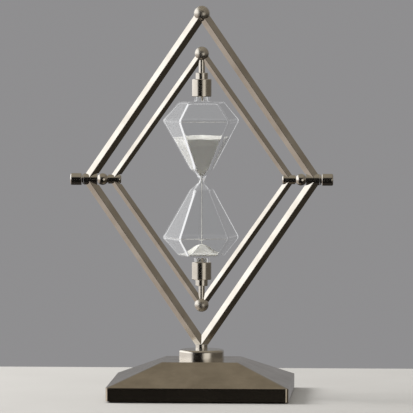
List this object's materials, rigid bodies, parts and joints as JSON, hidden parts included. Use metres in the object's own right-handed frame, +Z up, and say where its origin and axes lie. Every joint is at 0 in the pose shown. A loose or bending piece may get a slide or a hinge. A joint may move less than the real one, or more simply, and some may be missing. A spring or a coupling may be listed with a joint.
{
  "type": "hourglass",
  "caption": "Faceted glass hourglass in a diamond frame that turns on a side-to-side axle inside a larger diamond frame, on a square metal base.",
  "frame": {"origin": "on the surface that the base stands on, under the middle of the base", "axes": "+Z up; +X to the right along the axle; the front faces -Y"},
  "size_m": [0.27, 0.185, 0.4003],
  "materials": {
    "frame_nickel": "satin",
    "polished_nickel": "polished",
    "brushed_nickel": "satin",
    "plain_steel": "satin",
    "clear_glass": "gloss",
    "white_sand": "matte",
    "cork": "matte",
    "cement": "matte",
    "felt": "matte"
  },
  "bodies": {
    "stand": {"base_plate": "plain_steel", "base_screws": "plain_steel", "base_shell": "brushed_nickel", "base_tabs": "plain_steel", "bolt_washer": "plain_steel", "collar": "polished_nickel", "felt_pad": "felt", "foot_boss": "polished_nickel", "frame_bolt": "plain_steel", "hub_bush_left": "polished_nickel", "hub_bush_right": "polished_nickel", "outer_ball": "polished_nickel", "outer_bar_lower_left": "frame_nickel", "outer_bar_lower_right": "frame_nickel", "outer_bar_upper_left": "frame_nickel", "outer_bar_upper_right": "frame_nickel", "outer_hub_left": "polished_nickel", "outer_hub_right": "polished_nickel"},
    "turning_frame": {"ball_spacer_left": "polished_nickel", "ball_spacer_right": "polished_nickel", "cement_lower": "cement", "cement_upper": "cement", "ferrule_cup_lower": "polished_nickel", "ferrule_cup_upper": "polished_nickel", "glass": "clear_glass", "hub_washer_left": "polished_nickel", "hub_washer_right": "polished_nickel", "inner_ball_lower": "polished_nickel", "inner_ball_upper": "polished_nickel", "inner_bar_lower_left": "frame_nickel", "inner_bar_lower_right": "frame_nickel", "inner_bar_upper_left": "frame_nickel", "inner_bar_upper_right": "frame_nickel", "inner_hub_left": "polished_nickel", "inner_hub_right": "polished_nickel", "knob_left": "polished_nickel", "knob_right": "polished_nickel", "knob_washer_left": "polished_nickel", "knob_washer_right": "polished_nickel", "locknut_lower": "polished_nickel", "locknut_upper": "polished_nickel", "neck_washer_left": "polished_nickel", "neck_washer_right": "polished_nickel", "pivot_bolt_left": "polished_nickel", "pivot_bolt_right": "polished_nickel", "sand_lower": "white_sand", "sand_stream": "white_sand", "sand_upper": "white_sand", "stem_lower": "polished_nickel", "stem_upper": "polished_nickel", "stopper_lower": "cork", "stopper_upper": "cork"}
  },
  "joints": [
    {"name": "frame_turn", "type": "hinge", "parent": "stand", "child": "turning_frame", "pos_m": [0, 0, 0.2222], "axis": [1, 0, 0], "continuous": true}
  ]
}
